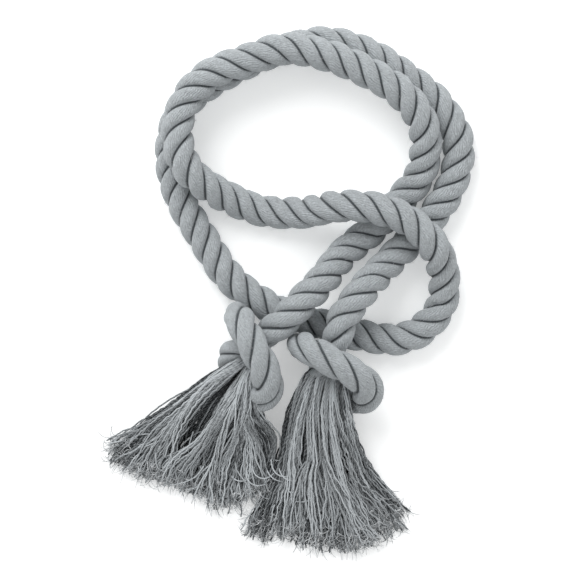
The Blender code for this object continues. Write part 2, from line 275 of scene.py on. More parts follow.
def linear(hex_colour):
    """An sRGB hex colour as linear RGBA."""
    channels = []
    for k in (0, 2, 4):
        value = int(hex_colour[k:k + 2], 16) / 255
        low = value <= 0.04045
        channels.append(value / 12.92 if low else ((value + 0.055) / 1.055) ** 2.4)
    return (*channels, 1.0)


def length_property(name, description, default):
    return FloatProperty(name=name, description=description, default=default, min=0.0,
                         unit="LENGTH", precision=5)


def colour_property(name, description, hex_colour):
    return FloatVectorProperty(name=name, description=description, size=4, subtype="COLOR",
                               default=linear(hex_colour), min=0.0, max=1.0)


class TiebackRopeSettings(bpy.types.PropertyGroup):
    groove: FloatProperty(
        name="Groove depth", description="Depth of the groove between strands, of the radius",
        default=0.35, min=0.0, max=0.5, subtype="FACTOR")
    knot_swell: FloatProperty(
        name="Knot swell", description="How much the soft rope swells to fill its knots",
        default=1.04, min=1.0, max=1.2)
    step: length_property("Step", "Distance between two sections of the rope", 0.0012)
    yarn: length_property("Yarn", "Width of one spun yarn on a strand's surface", 0.0013)
    colour: colour_property("Colour", "Cotton at the crown of a strand", "A6ABAE")
    # painted shade: this darker colour is mixed into the rope's colour down in the grooves, where
    # shade falls
    shade: colour_property("Shade", "Cotton down in the grooves", "4C5154")


class TiebackTasselSettings(bpy.types.PropertyGroup):
    locks: IntProperty(name="Locks", description="Locks of yarn in each tassel", default=64, min=1)
    yarns: IntProperty(name="Yarns", description="Loose yarns in each lock", default=10, min=1)
    yarn: length_property("Yarn", "Thickness of one loose yarn", 0.00098)
    strays: IntProperty(name="Stray yarns", description="Short yarns that lie across each tassel",
                        default=46, min=0)
    crimp: length_property("Crimp", "Swing of the waves that the lay has left in a yarn", 0.00024)
    pile: length_property("Pile", "Height of the yarns where they lie on the surface", 0.0090)
    colour: colour_property("Colour", "Loose cotton yarn", "C5CACD")
    # the darkest colour: for yarns that are dark at random, and as painted shade for yarns deep in
    # the fan
    shade: colour_property("Shade", "The darkest of the yarns", "272B2E")
    frayed: colour_property("Frayed", "Frayed plies and single fibres", "E0E3E5")
    frayed_shade: colour_property("Frayed shade", "The darkest of them", "6B7073")


class TiebackFibreSettings(bpy.types.PropertyGroup):
    count: IntProperty(name="Fibres", description="Loose fibres on the rope", default=2600, min=0)
    length: length_property("Length", "Length of a loose fibre on the rope", 0.0030)
    thickness: length_property("Thickness", "Thickness of a loose fibre", 0.00016)
    split: length_property("Split end", "Thickness of a ply at a yarn's frayed tip", 0.00046)


class TiebackStageSettings(bpy.types.PropertyGroup):
    floor: colour_property("Floor", "Plain pale surface", "FAFBFB")
    glow: FloatProperty(name="Glow", description="How much the surface shines by itself",
                        default=0.28, min=0.0)
    frame_height: length_property("Frame height", "Height of the picture on the surface", 0.318)
    camera_height: length_property("Camera height", "Camera above the surface", 1.6)


# ---- Curves ----

def knot_points(knot):
    """The knot's rows at its place: (position in metres, girth)."""
    turn = math.radians(knot["turn_deg"])
    points = []
    for row in KNOT_ROWS:
        right = row.across * math.cos(turn) - row.along * math.sin(turn)
        down = row.across * math.sin(turn) + row.along * math.cos(turn)
        place = Vector((
            knot["x_mm"] * MM + right * ROPE_DIAMETER,
            knot["y_mm"] * MM - down * ROPE_DIAMETER,
            (KNOT_AXIS + row.height) * ROPE_DIAMETER,
        ))
        points.append((place, row.girth))
    return points


def smooth_curve(points, steps):
    """A centripetal Catmull-Rom curve through points, each a Vector."""
    ends = [2 * points[0] - points[1]] + list(points) + [2 * points[-1] - points[-2]]
    curve = []
    for a, b, c, d in zip(ends, ends[1:], ends[2:], ends[3:]):
        t0 = 0.0
        t1 = t0 + math.sqrt((b - a).length)
        t2 = t1 + math.sqrt((c - b).length)
        t3 = t2 + math.sqrt((d - c).length)
        for step in range(steps):
            t = t1 + (t2 - t1) * step / steps
            ab = a.lerp(b, (t - t0) / (t1 - t0))
            bc = b.lerp(c, (t - t1) / (t2 - t1))
            cd = c.lerp(d, (t - t2) / (t3 - t2))
            abc = ab.lerp(bc, (t - t0) / (t2 - t0))
            bcd = bc.lerp(cd, (t - t1) / (t3 - t1))
            curve.append(abc.lerp(bcd, (t - t1) / (t2 - t1)))
    curve.append(points[-1].copy())
    return curve


def even_steps(curve, count):
    """The curve resampled to count equal steps, and its length."""
    lengths = [0.0]
    for a, b in zip(curve, curve[1:]):
        lengths.append(lengths[-1] + (b - a).length)
    samples = []
    k = 0
    for i in range(count + 1):
        s = lengths[-1] * i / count
        while k < len(curve) - 2 and lengths[k + 1] < s:
            k += 1
        samples.append(curve[k].lerp(curve[k + 1], (s - lengths[k]) / (lengths[k + 1] - lengths[k])))
    return samples, lengths[-1]


def rope_path(step):
    """Positions along the rope's axis at even steps, the girth at each, and the length."""
    between = [
        (Vector((row.x_mm * MM, row.y_mm * MM, row.height * ROPE_DIAMETER)), 1.0)
        for row in ROUTE_ROWS
    ]
    points = knot_points(KNOTS["left"])[::-1] + between + knot_points(KNOTS["right"])
    # the girth rides along as a fourth coordinate, scaled so that it doesn't stretch the steps
    carried = [Vector((*place, girth * MM)) for place, girth in points]
    curve = smooth_curve(carried, SPLINE_STEPS)
    for sample in curve:
        resting = min(sample[3] / MM / 2, REST_HEIGHT) * ROPE_DIAMETER
        sample[2] = max(sample[2], resting)
    total = sum((b - a).length for a, b in zip(curve, curve[1:]))
    samples, length = even_steps(curve, round(total / step))
    return [s.to_3d() for s in samples], [s[3] / MM for s in samples], length


def tangents(path):
    """The direction of the path at each of its points."""
    after = path[1:] + [path[-1]]
    before = [path[0]] + path[:-1]
    return [(b - a).normalized() for a, b in zip(before, after)]


def carried_normals(path, start):
    """The path's directions, and normals that turn as little as they can along it."""
    directions = tangents(path)
    normal = (start - start.dot(directions[0]) * directions[0]).normalized()
    normals = [normal]
    for old, new in zip(directions, directions[1:]):
        normal = old.rotation_difference(new) @ normal
        normal = (normal - normal.dot(new) * new).normalized()
        normals.append(normal)
    return directions, normals


def lay_at(girth):
    """The lay length where the rope is pulled in to this girth."""
    loose, tight = KNOT_LAY_GIRTHS
    opened = min(max((loose - girth) / (loose - tight), 0.0), 1.0)
    return LAY_LENGTH * (1 + (KNOT_LAY - 1) * opened)


Section = namedtuple("Section", "place girth toward across up twist")


def rope_sections(step):
    """The rope's sections at even steps, each turned on by the lay, and the rope's length."""
    path, girths, length = rope_path(step)
    directions, normals = carried_normals(path, UP)
    even = length / (len(path) - 1)
    sections = []
    twist = 0.0
    for place, girth, toward, across in zip(path, girths, directions, normals):
        sections.append(Section(place, girth, toward, across, toward.cross(across), twist))
        twist += math.tau * even / lay_at(girth)
    return sections, length


def smooth_step(low, high, value):
    """From 0 at low to 1 at high, with a soft start and end."""
    t = min(max((value - low) / (high - low), 0.0), 1.0)
    return t * t * (3 - 2 * t)


# ---- Materials ----

def add_node(tree, kind, *inputs, stops=(), **named):
    """A node with its inputs in order, by name or by number, as in i6, its settings by name in
    lower case, and a colour ramp's stops. An input is a value, a socket, or a node, which stands
    for its first output."""
    node = tree.nodes.new(kind)
    values = dict(enumerate(inputs))
    for name, value in named.items():
        if name[1:].isdigit():
            values[int(name[1:])] = value
        elif name.islower():
            setattr(node, name, value)
        else:
            values[name] = value
    for key, value in values.items():
        if isinstance(value, bpy.types.Node):
            value = value.outputs[0]
        if isinstance(value, bpy.types.NodeSocket):
            tree.links.new(value, node.inputs[key])
        else:
            node.inputs[key].default_value = value
    for k, (position, colour) in enumerate(stops):
        elements = node.color_ramp.elements
        element = elements[k] if k < len(elements) else elements.new(position)
        element.position, element.color = position, colour
    return node


def new_material(name, **inputs):
    """A material whose shader has these inputs, its node tree and its shader."""
    material = bpy.data.materials.new(name)
    material.use_nodes = True
    tree = material.node_tree
    shader = tree.nodes["Principled BSDF"]
    for key, value in inputs.items():
        shader.inputs[key.replace("_", " ")].default_value = value
    return material, tree, shader


def laid_cotton(settings):
    """Soft spun cotton, right-hand laid: matte, with a faint bloom of fibre at grazing angles. Its
    yarns run nearly along the rope, because the strands are twisted against the lay."""
    material, tree, shader = new_material(
        "laid_cotton_rope", Roughness=0.92, Specular_IOR_Level=0.18, Sheen_Weight=0.30,
        Sheen_Roughness=0.55, Sheen_Tint=linear(COTTON_SHEEN))
    lay = add_node(tree, "ShaderNodeUVMap", uv_map="lay")
    part = add_node(tree, "ShaderNodeSeparateXYZ", lay)
    along, around = part.outputs["X"], part.outputs["Y"]
    # from 0 on a strand's crown to 1 in the groove
    across = add_node(tree, MATHS, around, 0.5, operation="ADD")
    across = add_node(tree, MATHS, across, operation="FRACT")
    across = add_node(tree, MATHS, across, 0.5, operation="SUBTRACT")
    across = add_node(tree, MATHS, across, operation="ABSOLUTE")
    depth = add_node(tree, MATHS, across, 2.0, operation="MULTIPLY")
    # yarns: as many to a strand as its share of the rope's girth holds, and nearly parallel to
    # the rope's own axis
    per_strand = math.pi * ROPE_DIAMETER / STRANDS / settings.yarn
    against_lay = AGAINST_LAY * STRANDS / LAY_LENGTH
    slanted = add_node(tree, MATHS, along, against_lay, around, operation="MULTIPLY_ADD")
    sway_place = add_node(tree, "ShaderNodeVectorMath", lay, SWAY_SCALE, operation="MULTIPLY")
    sway = add_node(tree, "ShaderNodeTexNoise", noise_dimensions="2D", Vector=sway_place,
                    Scale=1.0, Detail=2.0, Roughness=0.5)
    swayed = add_node(tree, MATHS, sway, 0.16, slanted, operation="MULTIPLY_ADD")
    wave = add_node(tree, MATHS, swayed, math.pi * per_strand, operation="MULTIPLY")
    wave = add_node(tree, MATHS, wave, operation="SINE")
    wave = add_node(tree, MATHS, wave, operation="ABSOLUTE")
    yarn = add_node(tree, MATHS, wave, 0.6, operation="POWER")
    # spun fibre: fine streaks along the yarns
    streak_x = add_node(tree, MATHS, along, STREAK_SCALE[0], operation="MULTIPLY")
    streak_y = add_node(tree, MATHS, swayed, STREAK_SCALE[1], operation="MULTIPLY")
    streak_place = add_node(tree, "ShaderNodeCombineXYZ", streak_x, streak_y)
    streaks = add_node(tree, "ShaderNodeTexNoise", noise_dimensions="2D", Vector=streak_place,
                       Scale=1.0, Detail=4.0, Roughness=0.6)
    # heather: grey cotton is blended from light and dark fibre
    place = add_node(tree, "ShaderNodeTexCoord").outputs["Object"]
    heather = add_node(tree, "ShaderNodeTexNoise", Vector=place, Scale=HEATHER_SCALE,
                       Detail=3.0, Roughness=0.7)
    patches = add_node(tree, "ShaderNodeTexNoise", Vector=place, Scale=PATCH_SCALE,
                       Detail=2.0, Roughness=0.5)
    # painted shade: the grooves are coloured darker, towards the shade colour, with an edge made
    # ragged by the streaks
    frayed = add_node(tree, MATHS, streaks, 0.16, depth, operation="MULTIPLY_ADD")
    painted_groove_shade = add_node(tree, "ShaderNodeValToRGB", frayed, stops=(
        (0.0, settings.colour), (0.90, settings.colour), (1.0, settings.shade)))
    tone = add_node(tree, MATHS, streaks, 0.85, -0.15, operation="MULTIPLY_ADD")
    tone = add_node(tree, MATHS, heather, 1.05, tone, operation="MULTIPLY_ADD")
    tone = add_node(tree, MATHS, patches, 0.20, tone, operation="MULTIPLY_ADD")
    # painted shade: the tone is darker between neighbouring yarns and lighter on their crests
    tone = add_node(tree, MATHS, yarn, 0.14, tone, operation="MULTIPLY_ADD")
    grey = add_node(tree, "ShaderNodeCombineXYZ", tone, tone, tone)
    colour = add_node(tree, "ShaderNodeMix", 1.0, i6=painted_groove_shade, i7=grey, data_type="RGBA",
                      blend_type="MULTIPLY")
    tree.links.new(colour.outputs[2], shader.inputs["Base Color"])
    height = add_node(tree, MATHS, streaks, 0.7, yarn, operation="MULTIPLY_ADD")
    height = add_node(tree, MATHS, heather, 0.35, height, operation="MULTIPLY_ADD")
    bump = add_node(tree, "ShaderNodeBump", Strength=0.85, Distance=0.0005, Height=height)
    tree.links.new(bump.outputs["Normal"], shader.inputs["Normal"])
    return material


def loose_yarn(settings):
    """Loose two-ply cotton yarn: matte and a little hairy, each yarn in its own shade of grey, and
    painted shade on the yarns deep in the fan and between the plies.
    """
    material, tree, shader = new_material(
        "loose_cotton_yarn", Roughness=0.92, Specular_IOR_Level=0.18, Sheen_Weight=0.30,
        Sheen_Roughness=0.5, Sheen_Tint=linear(COTTON_SHEEN))
    ply = add_node(tree, "ShaderNodeAttribute", attribute_name="ply")
    part = add_node(tree, "ShaderNodeSeparateXYZ", ply.outputs["Vector"])
    shade = add_node(tree, "ShaderNodeAttribute", attribute_name="shade")
    # two plies wind round the yarn, and one or the other shows its crest every 3 mm
    turn = add_node(tree, MATHS, part.outputs["Z"], part.outputs["Y"], operation="ARCTAN2")
    turn = add_node(tree, MATHS, turn, 2.0, operation="MULTIPLY")
    phase = add_node(tree, MATHS, part.outputs["X"], math.tau / PLY_PITCH, turn,
                     operation="MULTIPLY_ADD")
    plies = add_node(tree, MATHS, phase, operation="SINE")
    plies = add_node(tree, MATHS, plies, 0.5, 0.5, operation="MULTIPLY_ADD")
    place = add_node(tree, "ShaderNodeTexCoord").outputs["Object"]
    fibre = add_node(tree, "ShaderNodeTexNoise", Vector=place, Scale=YARN_FIBRE_SCALE,
                     Detail=3.0, Roughness=0.7)
    tone = add_node(tree, MATHS, fibre, 0.5, -0.25, operation="MULTIPLY_ADD")
    tone = add_node(tree, MATHS, tone, shade.outputs["Fac"], operation="ADD")
    tone = add_node(tree, MATHS, tone, 0.18, operation="SUBTRACT")
    # painted shade: the plies' crests are coloured lighter and the hollows between them darker
    tone = add_node(tree, MATHS, plies, 0.36, tone, operation="MULTIPLY_ADD")
    colour = add_node(tree, "ShaderNodeValToRGB", tone, stops=(
        (0.0, settings.shade), (1.0, settings.colour)))
    tree.links.new(colour.outputs["Color"], shader.inputs["Base Color"])
    height = add_node(tree, MATHS, fibre, 0.6, plies, operation="MULTIPLY_ADD")
    bump = add_node(tree, "ShaderNodeBump", Strength=0.6, Distance=0.0003, Height=height)
    tree.links.new(bump.outputs["Normal"], shader.inputs["Normal"])
    return material


def loose_fibre(settings):
    """Single cotton fibres and frayed plies: the palest of the cotton, because light comes
    through them."""
    material, tree, shader = new_material(
        "cotton_fibre", Roughness=0.9, Specular_IOR_Level=0.2, Sheen_Weight=0.4)
    place = add_node(tree, "ShaderNodeTexCoord").outputs["Object"]
    uneven = add_node(tree, "ShaderNodeTexNoise", Vector=place, Scale=FRAYED_SCALE, Detail=2.0)
    colour = add_node(tree, "ShaderNodeValToRGB", uneven, stops=(
        (0.3, settings.frayed_shade), (0.7, settings.frayed)))
    tree.links.new(colour.outputs["Color"], shader.inputs["Base Color"])
    return material


def matte_board(settings):
    """Smooth matte white board: even, with only the faintest grain. It glows a little, so that
    the shadows on it stay faint."""
    material, tree, shader = new_material(
        "matte_white_board", Roughness=0.8, Specular_IOR_Level=0.15,
        Emission_Color=tuple(settings.floor), Emission_Strength=settings.glow)
    place = add_node(tree, "ShaderNodeTexCoord").outputs["Object"]
    grain = add_node(tree, "ShaderNodeTexNoise", Vector=place, Scale=BOARD_SCALE, Detail=3.0)
    faint = tuple(channel * 0.985 for channel in settings.floor[:3]) + (1.0,)
    colour = add_node(tree, "ShaderNodeValToRGB", grain, stops=(
        (0.3, faint), (0.7, tuple(settings.floor))))
    tree.links.new(colour.outputs["Color"], shader.inputs["Base Color"])
    return material


# ---- Pieces ----

def add_piece(name, bm, material, slot, *replaced):
    """The finished mesh as a piece of the object, riding on its one body."""
    mesh = bpy.data.meshes.new(name)
    bm.to_mesh(mesh)
    bm.free()
    mesh.shade_smooth()
    mesh.materials.append(material)
    piece = bpy.data.objects.new(name, mesh)
    bpy.context.scene.collection.objects.link(piece)
    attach(piece, "root")
    if replaced:
        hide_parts(*replaced)
    return piece


def groove_share(share):
    """From 0 on a strand's crown to 1 in the groove, at a share of the way round the rope."""
    return abs((share * STRANDS + 0.5) % 1.0 - 0.5) * 2


def strand_profile(share, groove):
    """Radius of the rope's outline, of its full radius, at a share of the way round."""
    return 1.0 - groove * groove_share(share) ** PROFILE_POWER


def outwards(section, share):
    """The direction away from the rope's axis, at a share of the way round."""
    angle = math.tau * share + section.twist
    return math.cos(angle) * section.across + math.sin(angle) * section.up


def rope_bmesh(sections, length, settings):
    """The laid rope as one closed tube, its sections turning with the lay. The map "lay" holds
    metres along the rope and strands around it."""
    count = len(sections) - 1
    rng = random.Random(ROPE_SEED)
    slubs = count // SLUB_SECTIONS + 3
    plump = [[rng.uniform(*SLUB) for _ in range(slubs)] for _ in range(STRANDS)]
    bm = bmesh.new()
    bm.loops.layers.uv.new("lay")
    grid = bmesh.ops.create_grid(bm, x_segments=count, y_segments=ROPE_SIDES, size=0.5,
                                 calc_uvs=True)
    lay = bm.loops.layers.uv["lay"]
    rings = {}
    for vert in grid["verts"]:
        i = round((vert.co.x + 0.5) * count)
        j = round((vert.co.y + 0.5) * ROPE_SIDES)
        rings[i, j] = vert
    for face in bm.faces:
        for loop in face.loops:
            u, v = loop[lay].uv
            loop[lay].uv = (u * length, v * STRANDS)
    for (i, j), vert in rings.items():
        section = sections[i]
        share = j / ROPE_SIDES
        strand = int(share * STRANDS + 0.5) % STRANDS
        k, part = divmod(i / SLUB_SECTIONS, 1.0)
        bulge = plump[strand][int(k)] * (1 - part) + plump[strand][int(k) + 1] * part
        swell = 1 + (settings.knot_swell - 1) * (1 - smooth_step(*KNOT_GIRTHS, section.girth))
        radius = section.girth * swell * bulge * ROPE_DIAMETER / 2
        radius *= strand_profile(share, settings.groove)
        radius *= 1 + rng.gauss(0, FUZZ + GROOVE_FUZZ * groove_share(share) ** 4)
        vert.co = section.place + radius * outwards(section, share)
        vert.co.z = max(vert.co.z, 0.0)
    seam = {rings[i, ROPE_SIDES]: rings[i, 0] for i in range(count + 1)}
    bmesh.ops.weld_verts(bm, targetmap=seam)
    ends = [edge for edge in bm.edges if edge.is_boundary]
    bmesh.ops.holes_fill(bm, edges=ends)
    bmesh.ops.recalc_face_normals(bm, faces=bm.faces[:])
    return bm


def level_across(toward):
    """The level direction square to the one that a yarn takes."""
    return toward.cross(UP).normalized()


def grow_yarns(spines, thickness, tip_share, sides, shades=None):
    """Round yarns along spines that all have the same number of steps, thinner towards the tip.
    The attribute "ply" holds metres along the yarn and the direction round it."""
    steps = len(spines[0]) - 1
    radii = [thickness / 2 * (1 - (1 - tip_share) * (k / steps) ** 2) for k in range(steps + 1)]
    bm = bmesh.new()
    ply = bm.verts.layers.float_vector.new("ply")
    shade = bm.verts.layers.float.new("shade")
    which = bm.faces.layers.int.new("which")
    turns = [(math.cos(math.tau * k / sides), math.sin(math.tau * k / sides))
             for k in range(sides)]
    sections = []
    for spine in spines:
        side_ways = []
        for toward in tangents(spine):
            across = level_across(toward)
            side_ways.append((across, across.cross(toward)))
        sections.append(side_ways)
    corner = bm.verts.layers.int.new("corner")
    along = [0.0] * len(spines)

    def place(face, k):
        n = face[which]
        across, up = sections[n][k]
        for vert in face.verts:
            c, s = turns[vert[corner]]
            vert.co = spines[n][k] + radii[k] * (c * across + s * up)
            vert[ply] = (along[n], c, s)
            vert[shade] = shades[n] if shades else 0.5

    faces = []
    for n in range(len(spines)):
        verts = bmesh.ops.create_circle(bm, cap_ends=True, segments=sides, radius=MM)["verts"]
        for k, vert in enumerate(verts):
            vert[corner] = k
        face = verts[0].link_faces[0]
        face[which] = n
        place(face, 0)
        faces.append(face)
    for k in range(1, len(spines[0])):
        for n, spine in enumerate(spines):
            along[n] += (spine[k] - spine[k - 1]).length
        faces = bmesh.ops.extrude_discrete_faces(bm, faces=faces)["faces"]
        for face in faces:
            place(face, k)
    bmesh.ops.holes_fill(bm, edges=[edge for edge in bm.edges if edge.is_boundary])
    bmesh.ops.recalc_face_normals(bm, faces=bm.faces[:])
    return bm


def fan_row(fan, share):
    """The fan's shoulder, waist and tip at one share of its width."""
    for low, high in zip(fan, fan[1:]):
        if share <= high.share:
            break
    t = (share - low.share) / (high.share - low.share)
    row = [a + t * (b - a) for a, b in zip(low, high)]
    return [Vector((row[k], row[k + 1], 0.0)) * MM for k in (1, 3, 5)]


def parting_shift(which, share, level, t):
    """How far a yarn is pushed aside by the tassel's partings, in metres."""
    shift = 0.0
    first, last = PARTING_OPEN
    for parting in PARTINGS[which]:
        opened = smooth_step(parting.starts, first, t) * (1 - smooth_step(last, parting.ends, t))
        near = max(0.0, 1 - abs(share - parting.share) / PARTING_REACH)
        above = smooth_step(parting.depth, parting.depth + PARTING_BLEND, level)
        shift += math.copysign(opened * near * above * parting.width_mm * MM / 2,
                               share - parting.share)
    return shift


def pile_share(share):
    """Height of the pile, of its full height, at a share of the fan's width."""
    return 1 - 0.5 * abs(2 * share - 1) ** 3


def tassel_mouth(which):
    """A point inside the knot, the middle of the tassel's mouth, and the level direction across
    the mouth."""
    path, _, _ = rope_path(SOLID_STEP)
    if which == "left":
        path = path[::-1]
    mouth = MOUTHS[which]
    outward = (path[-1] - path[-2]).normalized()
    level_out = Vector((outward.x, outward.y, 0.0)).normalized()
    aside = Vector((-level_out.y, level_out.x, 0.0))
    middle = path[-1] + outward * mouth.out_mm * MM + aside * mouth.aside_mm * MM
    middle.z += mouth.rise_mm * MM
    return path[-4], middle, aside


Lock = namedtuple("Lock", "share level ease drift cut shade sway lift sway_phase twist start")
Yarn = namedtuple("Yarn", "lock order share level")


def draw_lock(order, count, first_parting, rng):
    """One of the tassel's locks at random: its place in the fan and the pile, and how it lies."""
    share = (order + rng.random()) / count
    level = (order * GOLDEN_SHARE + rng.uniform(0.0, 0.15)) % 1.0
    # locks lie straighter at the fan's two sides and along its main parting
    ease = 1 - 0.85 * abs(2 * share - 1) ** 3
    ease *= smooth_step(-0.10, 0.16, abs(share - first_parting))
    return Lock(
        share=share,
        level=level,
        ease=ease,
        drift=rng.gauss(0, 0.050) * (0.3 + 0.7 * ease),
        cut=rng.uniform(-0.20, 0.09),
        shade=rng.gauss(0, 0.15),
        sway=rng.uniform(-1, 1) * ease,
        lift=rng.uniform(-1, 1),
        sway_phase=rng.uniform(0, math.tau),
        twist=rng.uniform(0.4, 1.2) * math.tau,
        start=rng.uniform(0, math.tau),
    )


def fan_points(which, yarn, rng):
    """A yarn's shoulder, waist and tip. They drift with its lock, but not across the tassel's
    main parting, and the tip is cut long or short."""
    first_parting = PARTINGS[which][0].share
    side = 0 if yarn.share < first_parting else 1
    least, most = (0.0, first_parting, 1.0)[side:side + 2]
    rows = []
    for part, loose in DRIFTS:
        drifted = yarn.share + part * yarn.lock.drift + rng.gauss(0, loose)
        rows.append(fan_row(FANS[which], min(max(drifted, least), most)))
    shoulder, waist, tip = rows[0][0], rows[1][1], rows[2][2]
    reach = 1.04 + yarn.lock.cut - 0.26 * rng.random() ** 1.8
    return shoulder, waist, waist.lerp(tip, reach)


def yarn_guide(which, opening, yarn, settings, rng):
    """The points that a yarn is led through: inside the knot, at the mouth's lip, and at the
    fan's shoulder, waist and tip."""
    inner, middle, aside = opening
    mouth = MOUTHS[which]
    x, y = 2 * yarn.share - 1, 2 * yarn.level - 1
    disc_x = x * math.sqrt(1 - y * y / 2)
    disc_y = y * math.sqrt(1 - x * x / 2)
    root = inner + (aside * disc_x + Vector((0, 0, disc_y))) * 0.3 * ROPE_DIAMETER
    lip = middle + aside * disc_x * mouth.half_width_mm * MM * 1.15
    lip.z += disc_y * mouth.half_height_mm * MM
    shoulder, waist, tip = fan_points(which, yarn, rng)
    edge = pile_share(yarn.share)
    pile = settings.pile * edge
    shoulder.z = middle.z - SHOULDER_SINK + (yarn.level - 0.5) * SHOULDER_HEIGHT * edge
    waist.z = settings.yarn / 2 + yarn.level * pile * 1.4 + WAIST_LIFT
    tip.z = settings.yarn / 2 + yarn.level * pile * 0.75
    return [root, lip, shoulder, waist, tip]


def yarn_spine(which, guide, yarn, settings, rng, steps=36):
    """A yarn along its guide: crimped by the lay, wound round its lock's middle, and swayed,
    curled and parted on its way to the tip."""
    lock = yarn.lock
    samples, total = even_steps(smooth_curve(guide, GUIDE_STEPS), steps)
    wavelength = rng.uniform(*CRIMP_WAVE)
    phase = rng.uniform(0, math.tau)
    swing = settings.crimp * rng.uniform(0.2, 1.8)
    curl = rng.gauss(0, TIP_CURL) * (0.3 + 0.7 * lock.ease)
    wander = rng.gauss(0, YARN_WANDER)
    wander_phase = rng.uniform(0, math.tau)
    out = math.sqrt((yarn.order + 0.5) / settings.yarns) * MM
    spine = []
    for k, (point, toward) in enumerate(zip(samples, tangents(samples))):
        t = k / steps
        free = smooth_step(0.08, 0.32, t)
        wave = phase + math.tau * t * total / wavelength
        sideways = swing * free * (0.5 + 0.9 * t) * math.cos(wave)
        height = swing * free * math.sin(wave) * 0.8
        # the yarns wind round their lock's middle, and spread as it opens towards its tip
        spread = out * (1.2 + 0.6 * free + 2.2 * smooth_step(0.60, 1.0, t))
        winding = lock.start + GOLDEN_ANGLE * yarn.order + lock.twist * t
        sideways += spread * math.cos(winding)
        height += 0.6 * spread * math.sin(winding)
        # the locks sway over each other
        sideways -= lock.sway * LOCK_SWAY * free * math.sin(lock.sway_phase + 4.4 * t)
        height += lock.lift * LOCK_LIFT * free * (1 - 0.5 * t)
        sideways += wander * free * math.sin(wander_phase + 5.0 * t)
        sideways += curl * smooth_step(0.70, 1.0, t) ** 1.6
        sideways -= parting_shift(which, yarn.share, yarn.level, t)
        place = point + level_across(toward) * sideways + Vector((0, 0, height))
        place.z = max(place.z, settings.yarn / 2)
        spine.append(place)
    return spine


def tassel_spines(which, settings):
    """The spine and shade of each loose yarn of one tassel, from inside the knot to its tip. The
    yarns keep together in locks, which still hold some of their twist and cross each other."""
    opening = tassel_mouth(which)
    first_parting = PARTINGS[which][0].share
    rng = random.Random(TASSEL_SEEDS[which])
    spines = []
    shades = []
    for n in range(settings.locks):
        lock = draw_lock(n, settings.locks, first_parting, rng)
        for m in range(settings.yarns):
            share = min(max(lock.share + rng.gauss(0, 0.006), 0.0), 1.0)
            level = min(max(lock.level + rng.gauss(0, 0.03), 0.0), 1.0)
            yarn = Yarn(lock, m, share, level)
            guide = yarn_guide(which, opening, yarn, settings, rng)
            spines.append(yarn_spine(which, guide, yarn, settings, rng))
            # painted shade: yarns deep in the fan are coloured darker, but not at its sides, where
            # light reaches them
            depth = (0.5 - level) * (1 - 0.8 * abs(2 * share - 1) ** 4)
            tone_and_painted_shade = rng.gauss(0.34, 0.31) + lock.shade - depth
            shades.append(min(max(tone_and_painted_shade, 0.0), 1.0))
    return spines, shades


def frayed_tips(spines, rng, settings, steps=5):
    """Wisps that spring apart where each yarn is cut."""
    split = []
    for spine in spines:
        toward = (spine[-1] - spine[-3]).normalized()
        for _ in range(WISPS):
            heading = Vector((
                toward.x + rng.gauss(0, 0.45), toward.y + rng.gauss(0, 0.45), rng.gauss(0, 0.22),
            )).normalized()
            bend = rng.gauss(0, 1.9)
            length = WISP_LEAST + WISP_EXTRA * rng.random() ** 1.7
            point = spine[-2].copy()
            wisp = [point.copy()]
            for _ in range(steps):
                turn = bend / steps
                heading = Vector((
                    heading.x * math.cos(turn) - heading.y * math.sin(turn),
                    heading.x * math.sin(turn) + heading.y * math.cos(turn),
                    heading.z - 0.05,
                )).normalized()
                point = point + heading * length / steps
                point.z = max(point.z, settings.split / 2)
                wisp.append(point.copy())
            split.append(wisp)
    return split


def stray_yarns(which, settings, rng, steps=26):
    """Yarns that have sprung out of the fan and lie curled on its lower part: those that are
    listed, and short ones at random."""
    fan = FANS[which]
    spines = []
    for row in CURLS[which]:
        place = Vector((row.x_mm, row.y_mm, row.end_z_mm)) * MM
        spine = [place.copy()]
        for k in range(steps):
            t = (k + 0.5) / steps
            heading = math.radians(row.heading_deg + row.bend_deg * smooth_step(0.0, 1.0, t))
            step = Vector((math.cos(heading), math.sin(heading), 0.0))
            place = place + step * row.length_mm * MM / steps
            height = row.end_z_mm + (row.middle_z_mm - row.end_z_mm) * math.sin(math.pi * t)
            spine.append(Vector((place.x, place.y, height * MM)))
        spines.append(spine)
    for _ in range(settings.strays):
        share = rng.uniform(0.10, 0.90)
        _, waist, tip = fan_row(fan, share)
        place = waist.lerp(tip, rng.uniform(-0.35, 0.55))
        toward = tip - waist
        heading = math.atan2(toward.y, toward.x) + rng.gauss(0, 0.55)
        bend = rng.gauss(0, 1.5)
        wave = rng.uniform(0, math.tau)
        length = rng.uniform(*STRAY_LENGTH)
        top = settings.pile * pile_share(share)
        place.z = top * rng.uniform(0.75, 1.15)
        spine = [place.copy()]
        for k in range(steps):
            t = k / steps
            heading += (bend * (0.4 + 1.2 * t) + 1.1 * math.cos(wave + 9.0 * t)) / steps
            fall = -0.25 * smooth_step(0.45, 1.0, t) + 0.12 * math.sin(wave + 7.0 * t)
            step = Vector((math.cos(heading), math.sin(heading), fall)).normalized()
            place = place + step * length / steps
            place.z = max(place.z, settings.yarn / 2)
            spine.append(place.copy())
        spines.append(spine)
    return spines


